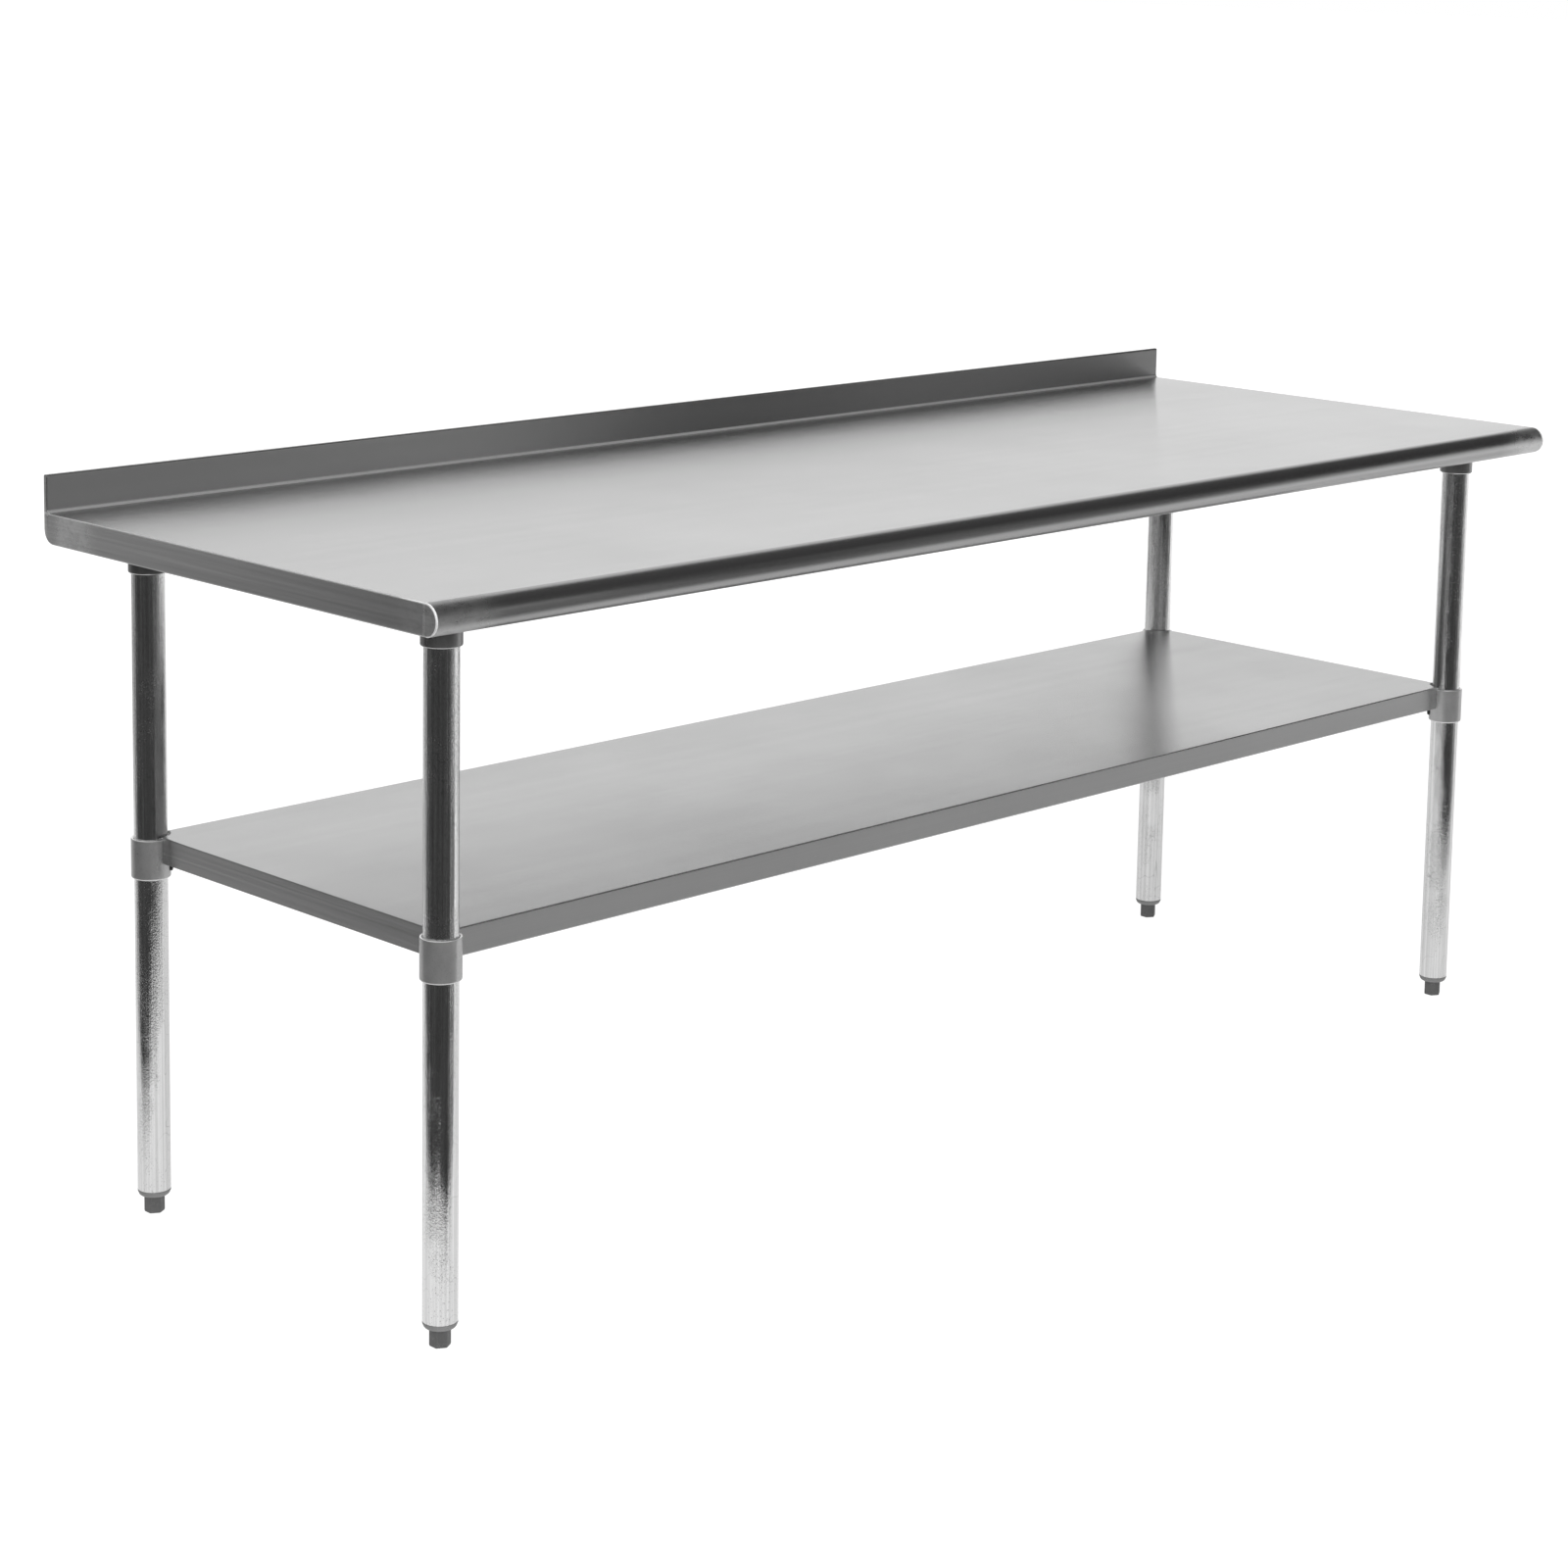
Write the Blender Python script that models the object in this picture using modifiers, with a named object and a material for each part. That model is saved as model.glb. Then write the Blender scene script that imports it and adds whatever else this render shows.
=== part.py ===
"""Stainless work table: rolled front edge, low backsplash, undershelf and levelling feet.

Metres, +Z up. X runs along the length, the front is at -Y, and the origin lies on the floor
under the middle of the table. Folded sheets are open surfaces given a thickness, and round
pieces are turned profiles.
"""

import math

import bmesh
import bpy
from mathutils import Matrix, Vector

# ---- Driving dimensions -------------------------------------------------------------------
TABLE_LENGTH = 2.134
TABLE_DEPTH = 0.762
WORK_HEIGHT = 0.889
SPLASH_HEIGHT = 0.048
LEG_DIAMETER = 0.0413
SHELF_HEIGHT = 0.489          # top face of the undershelf
FOOT_TRAVEL = 0.0254          # how far a levelling foot unscrews

LEG_SPACING_X = 1.964
LEG_SPACING_Y = 0.569
GAP = 0.0003                  # clearance between pieces that touch

# ---- Worktop sheet ------------------------------------------------------------------------
TOP_SHEET = 0.0012
EDGE_DEPTH = 0.038            # depth of the rolled edge and of the end panels
ROLL_RADIUS = EDGE_DEPTH / 2
ROLL_RETURN = 0.014           # flat part of the roll, under the table
SPLASH_THICKNESS = 0.008
SPLASH_TOP_RADIUS = 0.003
COVE_RADIUS = 0.005
REAR_CORNER_RADIUS = 0.018
REAR_RETURN = 0.012
PANEL_RETURN = 0.012          # hem turned in under an end panel or a shelf lip
FOLD_RADIUS = 0.0015

# ---- Undershelf sheet ---------------------------------------------------------------------
SHELF_SHEET = 0.0010
SHELF_LIP = 0.034
SHELF_FOLD_RADIUS = 0.002
SHELF_END_RADIUS = 0.0012
MOUTH_CUT_DEPTH = 0.005       # height of the block that cuts a pan's mouth, centred on its hems

# ---- Hat channels under the sheets --------------------------------------------------------
CHANNEL_SHEET = 0.0015
CHANNEL_WIDTH = 0.060
CHANNEL_FLANGE = 0.018
CHANNEL_DEPTH = 0.022
CHANNEL_FOLD_RADIUS = 0.002
CHANNEL_END_ROOM = 0.004      # a channel stops this far from its neighbour

# ---- Leg sockets and shelf sleeves --------------------------------------------------------
SOCKET_DIAMETER = 0.0484
SOCKET_DROP = 0.070           # from the work surface down to the socket's lower rim
SOCKET_CEILING = 0.003
SOCKET_RIM_RADIUS = 0.0025
SLEEVE_DIAMETER = 0.0488
SLEEVE_HEIGHT = 0.0508
SLEEVE_BELOW_SHELF_TOP = 0.004
SLEEVE_RIM_RADIUS = 0.0025
SLEEVE_MOUTH_CHAMFER = 0.0012
LEG_CLEARANCE = 0.00035

# ---- Set screws ---------------------------------------------------------------------------
SCREW_DIAMETER = 0.0080
SCREW_LENGTH = 0.0060
SCREW_CHAMFER = 0.0008
SCREW_KEY_WIDTH = 0.0040
SCREW_KEY_DEPTH = 0.0030
SCREW_ABOVE_RIM = 0.012       # height of a set screw above the lower rim it clamps through

# ---- Legs and levelling feet --------------------------------------------------------------
LEG_WALL = 0.0015
FOOT_HEIGHT = 0.022
FOOT_WIDTH = 0.0225           # across the flats of the hexagon
FOOT_CHAMFER = 0.0015
FOOT_FLOOR = 0.008            # solid depth under the stud's hole
STUD_DIAMETER = 0.0095
STUD_ENGAGEMENT = 0.0206      # thread left in the insert when the foot is unscrewed
STUD_CHAMFER = 0.001
INSERT_NECK_DIAMETER = 0.026
INSERT_COLLAR = 0.008         # tapered collar between the foot and the tube
INSERT_COLLAR_RIM = 0.002     # straight part of the collar, under the tube
INSERT_PLUG = 0.034           # part of the insert inside the tube

# ---- Facets -------------------------------------------------------------------------------
LEG_SIDES = 32
SMALL_SIDES = 20
SCREW_SIDES = 12
ARC_STEP = math.radians(15)
RIM_STEPS = 2
FOLD_STEPS = 2
SMOOTH_ANGLE = math.radians(32)
CHAMFERED_ANGLE = math.radians(70)
MERGE_DISTANCE = 0.00005
SAME_POINT = 0.000001

# ---- Heights and places worked out from the above -----------------------------------------
TOP_UNDERSIDE = WORK_HEIGHT - TOP_SHEET
CHANNEL_TOP = TOP_UNDERSIDE - GAP
SOCKET_TOP = CHANNEL_TOP - CHANNEL_DEPTH - GAP
SOCKET_BOTTOM = WORK_HEIGHT - SOCKET_DROP
SLEEVE_TOP = SHELF_HEIGHT - SLEEVE_BELOW_SHELF_TOP
SLEEVE_BOTTOM = SLEEVE_TOP - SLEEVE_HEIGHT
STUD_LENGTH = FOOT_HEIGHT - FOOT_FLOOR + FOOT_TRAVEL + STUD_ENGAGEMENT
COLLAR_BOTTOM = FOOT_HEIGHT + GAP
COLLAR_TOP = COLLAR_BOTTOM + INSERT_COLLAR
LEG_BOTTOM = COLLAR_TOP + GAP
LEG_TOP = SOCKET_TOP - SOCKET_CEILING - GAP
CORNERS = {
    "front_left": (-1, -1),
    "front_right": (1, -1),
    "rear_left": (-1, 1),
    "rear_right": (1, 1),
}

GALVANISED = ("galvanised_steel", (0.50, 0.51, 0.52), 0.30, 1.0)
BRUSHED = ("brushed_stainless", (0.62, 0.62, 0.62), 0.34, 1.0)
CAST = ("satin_cast_alloy", (0.46, 0.46, 0.47), 0.42, 1.0)
SCREW_STEEL = ("black_screw_steel", (0.10, 0.10, 0.11), 0.45, 1.0)
PLATED = ("plated_stud_steel", (0.60, 0.59, 0.56), 0.35, 1.0)
PLASTIC = ("grey_plastic", (0.17, 0.17, 0.18), 0.55, 0.0)


# ---- Scene and materials ------------------------------------------------------------------
def clear_scene():
    for obj in list(bpy.data.objects):
        bpy.data.objects.remove(obj)


def make_collection(name):
    collection = bpy.data.collections.new(name)
    bpy.context.scene.collection.children.link(collection)
    return collection


def finish_material(name, finish):
    """A Principled material of its own for one piece."""
    kind, colour, roughness, metallic = finish
    material = bpy.data.materials.new(name + "_" + kind)
    material.use_nodes = True
    shader = material.node_tree.nodes["Principled BSDF"]
    shader.inputs["Base Color"].default_value = (*colour, 1.0)
    shader.inputs["Roughness"].default_value = roughness
    shader.inputs["Metallic"].default_value = metallic
    return material


def add_object(name, mesh, finish, collection):
    """Links a named object for a mesh, shades it smooth over its curves, and gives its finish."""
    mesh.shade_smooth()
    mesh.set_sharp_from_angle(angle=SMOOTH_ANGLE)
    obj = bpy.data.objects.new(name, mesh)
    collection.objects.link(obj)
    if finish is not None:
        obj.data.materials.append(finish_material(name, finish))
    return obj


# ---- Outlines -----------------------------------------------------------------------------
def arc_points(corner, before, after, radius):
    """Points along the arc that rounds a corner between two straight runs."""
    to_before = (before - corner).normalized()
    to_after = (after - corner).normalized()
    half_angle = to_before.angle(to_after) / 2
    setback = radius / math.tan(half_angle)
    centre = corner + (to_before + to_after).normalized() * (radius / math.sin(half_angle))
    start = corner + to_before * setback - centre
    sweep = start.angle_signed(corner + to_after * setback - centre)
    steps = max(2, round(abs(sweep) / ARC_STEP))
    points = []
    for step in range(steps + 1):
        turn = -sweep * step / steps
        rotation = Matrix(((math.cos(turn), -math.sin(turn)), (math.sin(turn), math.cos(turn))))
        points.append(centre + rotation @ start)
    return points


def rounded_path(corners, closed=False):
    """A polyline through (u, v, radius) corners, each rounded by its own radius."""
    places = [Vector(corner[:2]) for corner in corners]
    count = len(corners)
    points = []
    for index, (place, corner) in enumerate(zip(places, corners)):
        at_end = index in (0, count - 1) and not closed
        radius = 0 if at_end else corner[2]
        if radius > 0:
            before, after = places[index - 1], places[(index + 1) % count]
            points += arc_points(place, before, after, radius)
        else:
            points.append(place)
    kept = [points[0]]
    for point in points[1:]:
        if (point - kept[-1]).length > SAME_POINT:
            kept.append(point)
    return kept


# ---- Folded sheets ------------------------------------------------------------------------
def swept_block(name, outline, length, finish, collection, fold_radius=0):
    """A solid with a closed YZ outline swept along X, its end edges rounded if asked."""
    bm = bmesh.new()
    verts = [bm.verts.new((-length / 2, point.x, point.y)) for point in outline]
    end = bm.faces.new(verts)
    swept = bmesh.ops.extrude_face_region(bm, geom=[end])["geom"]
    moved = [item for item in swept if isinstance(item, bmesh.types.BMVert)]
    bmesh.ops.translate(bm, verts=moved, vec=(length, 0, 0))
    bmesh.ops.recalc_face_normals(bm, faces=bm.faces)
    if fold_radius > 0:
        rims = [edge for edge in bm.edges if edge.verts[0].co.x * edge.verts[1].co.x > 0]
        bmesh.ops.bevel(
            bm, geom=rims, offset=fold_radius, segments=FOLD_STEPS, profile=0.5, affect="EDGES",
            clamp_overlap=True,
        )
    mesh = bpy.data.meshes.new(name)
    bm.to_mesh(mesh)
    bm.free()
    return add_object(name, mesh, finish, collection)


def box(name, size, centre, finish, collection):
    bm = bmesh.new()
    bmesh.ops.create_cube(bm, size=1, matrix=Matrix.Diagonal((*size, 1)))
    mesh = bpy.data.meshes.new(name)
    bm.to_mesh(mesh)
    bm.free()
    obj = add_object(name, mesh, finish, collection)
    obj.location = centre
    return obj


def folded_pan(name, outline, length, sheet, fold_radius, mouth, finish, collection, cutters):
    """A sheet folded down on all four sides, with its lower edges turned in round a mouth.

    outline(inset) gives the closed YZ outline, moved inwards by inset. mouth is the opening's
    (lowest Y, highest Y, reach along X each way, height of the lower edges).
    """
    pan = swept_block(name, outline(0), length, finish, collection, fold_radius)
    hollow = swept_block(name + "_hollow", outline(sheet), length - 2 * sheet, None, cutters)
    cut(pan, make_cutter(hollow))
    low_y, high_y, reach, low = mouth
    size = (2 * reach, high_y - low_y, MOUTH_CUT_DEPTH)
    opening = box(name + "_mouth", size, (0, (low_y + high_y) / 2, low), None, cutters)
    cut(pan, make_cutter(opening))
    return pan


def folded_channel(name, length, along, place, finish, collection):
    """A hat channel: two flanges against a sheet, and a crown hanging below them."""
    half = CHANNEL_WIDTH / 2
    reach = half + CHANNEL_FLANGE
    crown = CHANNEL_SHEET - CHANNEL_DEPTH
    path = rounded_path([
        (-reach, 0, 0),
        (-half, 0, CHANNEL_FOLD_RADIUS),
        (-half, crown, CHANNEL_FOLD_RADIUS),
        (half, crown, CHANNEL_FOLD_RADIUS),
        (half, 0, CHANNEL_FOLD_RADIUS),
        (reach, 0, 0),
    ])
    bm = bmesh.new()
    verts = [bm.verts.new((-length / 2, point.x, point.y)) for point in path]
    edges = [bm.edges.new(pair) for pair in zip(verts, verts[1:])]
    swept = bmesh.ops.extrude_edge_only(bm, edges=edges)["geom"]
    moved = [item for item in swept if isinstance(item, bmesh.types.BMVert)]
    bmesh.ops.translate(bm, verts=moved, vec=(length, 0, 0))
    turn_face_up(bm)
    if along == "Y":
        bmesh.ops.rotate(bm, verts=bm.verts, matrix=Matrix.Rotation(math.pi / 2, 3, "Z"))
    mesh = bpy.data.meshes.new(name)
    bm.to_mesh(mesh)
    bm.free()
    channel = add_object(name, mesh, finish, collection)
    channel.location = place
    solidify = channel.modifiers.new("sheet", "SOLIDIFY")
    solidify.thickness = CHANNEL_SHEET
    solidify.offset = -1.0
    solidify.use_even_offset = True
    return channel


def turn_face_up(bm):
    """Flips a consistent open sheet, if need be, so that its broad faces point up."""
    for face in bm.faces:
        face.normal_update()
    upward = sum(face.normal.z * face.calc_area() for face in bm.faces)
    if upward < 0:
        bmesh.ops.reverse_faces(bm, faces=bm.faces)


# ---- Turned and cut pieces ----------------------------------------------------------------
def turned(name, profile, sides, place, finish, collection, closed=False):
    """Turns a (radius, height) profile about Z. It runs down the outer side, top to bottom."""
    bm = bmesh.new()
    verts = [bm.verts.new((radius, 0, height)) for radius, height in profile]
    for pair in zip(verts, verts[1:]):
        bm.edges.new(pair)
    if closed:
        bm.edges.new((verts[-1], verts[0]))
    mesh = bpy.data.meshes.new(name)
    bm.to_mesh(mesh)
    bm.free()
    obj = add_object(name, mesh, finish, collection)
    obj.location = place
    spin = obj.modifiers.new("turn", "SCREW")
    spin.axis = "Z"
    spin.angle = 2 * math.pi
    spin.steps = sides
    spin.render_steps = sides
    spin.use_merge_vertices = True
    spin.merge_threshold = MERGE_DISTANCE
    spin.use_smooth_shade = True
    return obj


def prism(name, sides, width, depth, finish, collection):
    """A cylinder or hexagon standing on the origin. width is across the flats."""
    radius = width / 2 / math.cos(math.pi / sides)
    bm = bmesh.new()
    bmesh.ops.create_cone(
        bm, cap_ends=True, segments=sides, radius1=radius, radius2=radius, depth=depth,
        matrix=Matrix.Translation((0, 0, depth / 2)),
    )
    mesh = bpy.data.meshes.new(name)
    bm.to_mesh(mesh)
    bm.free()
    return add_object(name, mesh, finish, collection)


def make_cutter(obj):
    obj.hide_render = True
    obj.display_type = "WIRE"
    return obj


def cut(obj, cutter):
    boolean = obj.modifiers.new("cut_" + cutter.name, "BOOLEAN")
    boolean.operation = "DIFFERENCE"
    boolean.solver = "EXACT"
    boolean.object = cutter


def inward(corner):
    """Unit direction from a leg's axis towards the middle of the table, on the diagonal."""
    side_x, side_y = CORNERS[corner]
    return Vector((-side_x, -side_y, 0)).normalized()


def leg_axis(corner, height=0.0):
    side_x, side_y = CORNERS[corner]
    return Vector((side_x * LEG_SPACING_X / 2, side_y * LEG_SPACING_Y / 2, height))


def radial_frame(corner, height, radius):
    """Places a piece on a leg's inner side, its own Z pointing outwards from the leg's axis."""
    direction = inward(corner)
    place = leg_axis(corner, height) + direction * radius
    return Matrix.Translation(place) @ direction.to_track_quat("Z", "Y").to_matrix().to_4x4()


def screw_hole(name, corner, height, cutters):
    hole = prism(name, SCREW_SIDES, SCREW_DIAMETER + 2 * GAP, SOCKET_DIAMETER, None, cutters)
    hole.matrix_world = radial_frame(corner, height, LEG_DIAMETER / 4)
    return make_cutter(hole)


# ---- Worktop ------------------------------------------------------------------------------
def worktop_outline(inset):
    """The worktop's outer face seen from its end, or a line inset from it."""
    front = -TABLE_DEPTH / 2 + inset
    rear = TABLE_DEPTH / 2 - inset
    low = WORK_HEIGHT - EDGE_DEPTH + inset
    high = WORK_HEIGHT - inset
    splash_face = TABLE_DEPTH / 2 - SPLASH_THICKNESS + inset
    splash_top = WORK_HEIGHT + SPLASH_HEIGHT - inset
    return rounded_path([
        (front, low, ROLL_RADIUS - inset),
        (front, high, ROLL_RADIUS - inset),
        (splash_face, high, COVE_RADIUS + inset),
        (splash_face, splash_top, SPLASH_TOP_RADIUS - inset),
        (rear, splash_top, SPLASH_TOP_RADIUS - inset),
        (rear, low, REAR_CORNER_RADIUS - inset),
    ], closed=True)


def worktop(collection, cutters):
    low = WORK_HEIGHT - EDGE_DEPTH
    mouth = (
        -TABLE_DEPTH / 2 + ROLL_RADIUS + ROLL_RETURN,
        TABLE_DEPTH / 2 - REAR_CORNER_RADIUS - REAR_RETURN,
        TABLE_LENGTH / 2 - PANEL_RETURN,
        low,
    )
    folded_pan(
        "worktop", worktop_outline, TABLE_LENGTH, TOP_SHEET, FOLD_RADIUS, mouth, BRUSHED,
        collection, cutters,
    )


def top_channels(collection):
    """One cross channel over each pair of legs, and one along the middle between them."""
    cross_length = TABLE_DEPTH - 2 * (ROLL_RADIUS + ROLL_RETURN)
    for side, sign in (("left", -1), ("right", 1)):
        place = (sign * LEG_SPACING_X / 2, 0, CHANNEL_TOP)
        folded_channel("cross_channel_" + side, cross_length, "Y", place, GALVANISED, collection)
    cross_reach = CHANNEL_WIDTH / 2 + CHANNEL_FLANGE
    long_length = LEG_SPACING_X - 2 * (cross_reach + CHANNEL_END_ROOM)
    folded_channel("long_channel", long_length, "X", (0, 0, CHANNEL_TOP), GALVANISED, collection)


# ---- Leg fittings -------------------------------------------------------------------------
def rim_arc(outer, radius):
    """The rounded outer corner at a turned piece's lower rim, running down and inwards."""
    points = []
    for step in range(RIM_STEPS + 1):
        angle = math.pi / 2 * step / RIM_STEPS
        across = outer - radius + radius * math.cos(angle)
        points.append((across, radius - radius * math.sin(angle)))
    return points


def leg_socket(corner, collection, cutters):
    outer = SOCKET_DIAMETER / 2
    inner = LEG_DIAMETER / 2 + LEG_CLEARANCE
    height = SOCKET_TOP - SOCKET_BOTTOM
    profile = [(0, height), (outer, height)]
    profile += rim_arc(outer, SOCKET_RIM_RADIUS)
    profile += [(inner, 0), (inner, height - SOCKET_CEILING), (0, height - SOCKET_CEILING)]
    socket = turned(
        "leg_socket_" + corner, profile, LEG_SIDES, leg_axis(corner, SOCKET_BOTTOM), GALVANISED,
        collection,
    )
    screw_height = SOCKET_BOTTOM + SCREW_ABOVE_RIM
    cut(socket, screw_hole("socket_hole_" + corner, corner, screw_height, cutters))
    set_screw("socket_set_screw_" + corner, corner, screw_height, collection, cutters)


def shelf_sleeve(corner, collection, cutters):
    outer = SLEEVE_DIAMETER / 2
    inner = LEG_DIAMETER / 2 + LEG_CLEARANCE
    profile = [(outer, SLEEVE_HEIGHT)]
    profile += rim_arc(outer, SLEEVE_RIM_RADIUS)
    profile += [
        (inner, 0),
        (inner, SLEEVE_HEIGHT - SLEEVE_MOUTH_CHAMFER),
        (inner + SLEEVE_MOUTH_CHAMFER, SLEEVE_HEIGHT),
    ]
    sleeve = turned(
        "shelf_sleeve_" + corner, profile, LEG_SIDES, leg_axis(corner, SLEEVE_BOTTOM), CAST,
        collection, closed=True,
    )
    screw_height = SLEEVE_BOTTOM + SCREW_ABOVE_RIM
    cut(sleeve, screw_hole("sleeve_hole_" + corner, corner, screw_height, cutters))
    set_screw("sleeve_set_screw_" + corner, corner, screw_height, collection, cutters)


def set_screw(name, corner, height, collection, cutters):
    """A grub screw on the leg's inner side, with a hexagonal key recess in its outer end."""
    radius = SCREW_DIAMETER / 2
    profile = [
        (0, SCREW_LENGTH),
        (radius - SCREW_CHAMFER, SCREW_LENGTH),
        (radius, SCREW_LENGTH - SCREW_CHAMFER),
        (radius, SCREW_CHAMFER),
        (radius - SCREW_CHAMFER, 0),
        (0, 0),
    ]
    screw = turned(name, profile, SCREW_SIDES, (0, 0, 0), SCREW_STEEL, collection)
    frame = radial_frame(corner, height, LEG_DIAMETER / 2 + GAP)
    screw.matrix_world = frame
    key = prism(name + "_key", 6, SCREW_KEY_WIDTH, SCREW_LENGTH, None, cutters)
    key.matrix_world = frame @ Matrix.Translation((0, 0, SCREW_LENGTH - SCREW_KEY_DEPTH))
    cut(screw, make_cutter(key))


def leg_tube(corner, collection):
    outer = LEG_DIAMETER / 2
    inner = outer - LEG_WALL
    height = LEG_TOP - LEG_BOTTOM
    profile = [(outer, height), (outer, 0), (inner, 0), (inner, height)]
    turned(
        "leg_tube_" + corner, profile, LEG_SIDES, leg_axis(corner, LEG_BOTTOM), GALVANISED,
        collection, closed=True,
    )


# ---- Levelling feet -----------------------------------------------------------------------
def foot_insert(corner, collection):
    """Plastic bush pressed into the tube: a plug, a tapered collar and a threaded bore."""
    collar = LEG_DIAMETER / 2
    plug = collar - LEG_WALL - GAP
    bore = STUD_DIAMETER / 2 + GAP
    top = INSERT_COLLAR + INSERT_PLUG
    profile = [
        (plug - STUD_CHAMFER, top),
        (plug, top - STUD_CHAMFER),
        (plug, INSERT_COLLAR),
        (collar, INSERT_COLLAR),
        (collar, INSERT_COLLAR - INSERT_COLLAR_RIM),
        (INSERT_NECK_DIAMETER / 2, 0),
        (bore, 0),
        (bore, top),
    ]
    turned(
        "foot_insert_" + corner, profile, SMALL_SIDES, leg_axis(corner, COLLAR_BOTTOM), PLASTIC,
        collection, closed=True,
    )


def levelling_foot(corner, collection, cutters):
    """A hexagonal foot screwed on the end of a stud that runs up into the insert."""
    name = "levelling_foot_" + corner
    foot = prism(name, 6, FOOT_WIDTH, FOOT_HEIGHT, PLASTIC, collection)
    foot.location = leg_axis(corner)
    chamfer = foot.modifiers.new("chamfer", "BEVEL")
    chamfer.width = FOOT_CHAMFER
    chamfer.segments = 1
    chamfer.limit_method = "ANGLE"
    chamfer.angle_limit = CHAMFERED_ANGLE
    hole = prism(name + "_hole", SMALL_SIDES, STUD_DIAMETER + 2 * GAP, FOOT_HEIGHT, None, cutters)
    hole.location = leg_axis(corner, FOOT_FLOOR)
    cut(foot, make_cutter(hole))

    radius = STUD_DIAMETER / 2
    profile = [
        (0, STUD_LENGTH),
        (radius - STUD_CHAMFER, STUD_LENGTH),
        (radius, STUD_LENGTH - STUD_CHAMFER),
        (radius, 0),
        (0, 0),
    ]
    turned(
        "foot_stud_" + corner, profile, SMALL_SIDES, leg_axis(corner, FOOT_FLOOR + GAP), PLATED,
        collection,
    )


# ---- Undershelf ---------------------------------------------------------------------------
def undershelf_outline(inset):
    """The undershelf's outer face seen from its end, or a line inset from it."""
    half_depth = LEG_SPACING_Y / 2 - inset
    low = SHELF_HEIGHT - SHELF_LIP + inset
    high = SHELF_HEIGHT - inset
    radius = SHELF_FOLD_RADIUS - inset
    corners = ((-half_depth, low), (-half_depth, high), (half_depth, high), (half_depth, low))
    return rounded_path([(*corner, radius) for corner in corners], closed=True)


def undershelf(collection, cutters):
    """A lipped pan between the leg axes, notched round the four sleeves."""
    reach_y = LEG_SPACING_Y / 2 - PANEL_RETURN
    mouth = (-reach_y, reach_y, LEG_SPACING_X / 2 - PANEL_RETURN, SHELF_HEIGHT - SHELF_LIP)
    shelf = folded_pan(
        "undershelf", undershelf_outline, LEG_SPACING_X, SHELF_SHEET, SHELF_END_RADIUS, mouth,
        BRUSHED, collection, cutters,
    )
    for corner in CORNERS:
        width = SLEEVE_DIAMETER + 2 * GAP
        notch = prism("shelf_notch_" + corner, LEG_SIDES, width, 2 * SLEEVE_HEIGHT, None, cutters)
        notch.location = leg_axis(corner, SLEEVE_BOTTOM - SLEEVE_HEIGHT / 2)
        cut(shelf, make_cutter(notch))


def shelf_channel(collection):
    length = LEG_SPACING_X - 2 * (PANEL_RETURN + CHANNEL_END_ROOM)
    place = (0, 0, SHELF_HEIGHT - SHELF_SHEET - GAP)
    folded_channel("shelf_channel", length, "X", place, GALVANISED, collection)


# ---- Whole table --------------------------------------------------------------------------
def build_table():
    clear_scene()
    collection = make_collection("stainless_work_table")
    cutters = make_collection("cutters")
    worktop(collection, cutters)
    top_channels(collection)
    undershelf(collection, cutters)
    shelf_channel(collection)
    for corner in CORNERS:
        leg_socket(corner, collection, cutters)
        leg_tube(corner, collection)
        shelf_sleeve(corner, collection, cutters)
        foot_insert(corner, collection)
        levelling_foot(corner, collection, cutters)


build_table()
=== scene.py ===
"""Looks of the stainless work table: finer fittings, welds, materials, studio and camera.

Metres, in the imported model's frame: the front is at -Y and the origin lies on the floor under
the middle of the table.
"""
import math

import bmesh
import bpy
from mathutils import Matrix, Vector


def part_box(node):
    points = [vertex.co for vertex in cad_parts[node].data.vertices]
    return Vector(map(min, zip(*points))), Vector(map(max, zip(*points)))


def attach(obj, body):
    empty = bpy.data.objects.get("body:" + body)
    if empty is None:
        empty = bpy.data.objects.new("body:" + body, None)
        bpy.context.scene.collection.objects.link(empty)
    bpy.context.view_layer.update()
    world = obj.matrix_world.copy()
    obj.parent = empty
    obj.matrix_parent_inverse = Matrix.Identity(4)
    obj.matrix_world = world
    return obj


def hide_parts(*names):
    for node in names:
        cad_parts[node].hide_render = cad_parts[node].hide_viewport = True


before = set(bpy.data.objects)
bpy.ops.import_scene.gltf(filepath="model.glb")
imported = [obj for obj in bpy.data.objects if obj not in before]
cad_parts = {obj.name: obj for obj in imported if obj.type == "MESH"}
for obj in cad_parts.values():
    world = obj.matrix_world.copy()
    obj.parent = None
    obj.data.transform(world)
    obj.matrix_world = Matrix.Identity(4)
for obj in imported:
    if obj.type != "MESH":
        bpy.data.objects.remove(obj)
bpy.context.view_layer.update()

# ---- Driving dimensions -------------------------------------------------------------------
CORNERS = {
    "front_left": (-1, -1),
    "front_right": (1, -1),
    "rear_left": (-1, 1),
    "rear_right": (1, 1),
}
WORK_HEIGHT = 0.889
ROLL_RADIUS = 0.019
ROLL_BACK = -0.362
SPLASH_FACE = 0.373
TABLE_END = 1.067
SHELF_HEIGHT = 0.489
TUBE_WALL = 0.0015
BORE_CLEARANCE = 0.00035
THREAD_PITCH = 0.0254 / 16
ROUND_SIDES = 96
SMALL_SIDES = 48
SMOOTH_ANGLE = math.radians(32)
MERGE_DISTANCE = 0.000005
SAME_POINT = 0.000001

# ---- Camera -------------------------------------------------------------------------------
CAMERA_PLACE = (-3.3552, -3.2183, 1.6144)
CAMERA_YAW = math.radians(45.69)
CAMERA_PITCH = math.radians(8.45)
CAMERA_ROLL = math.radians(1.12)
CAMERA_LENS = 78.95
CAMERA_SHIFT = (-0.0375, -0.219)


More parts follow.
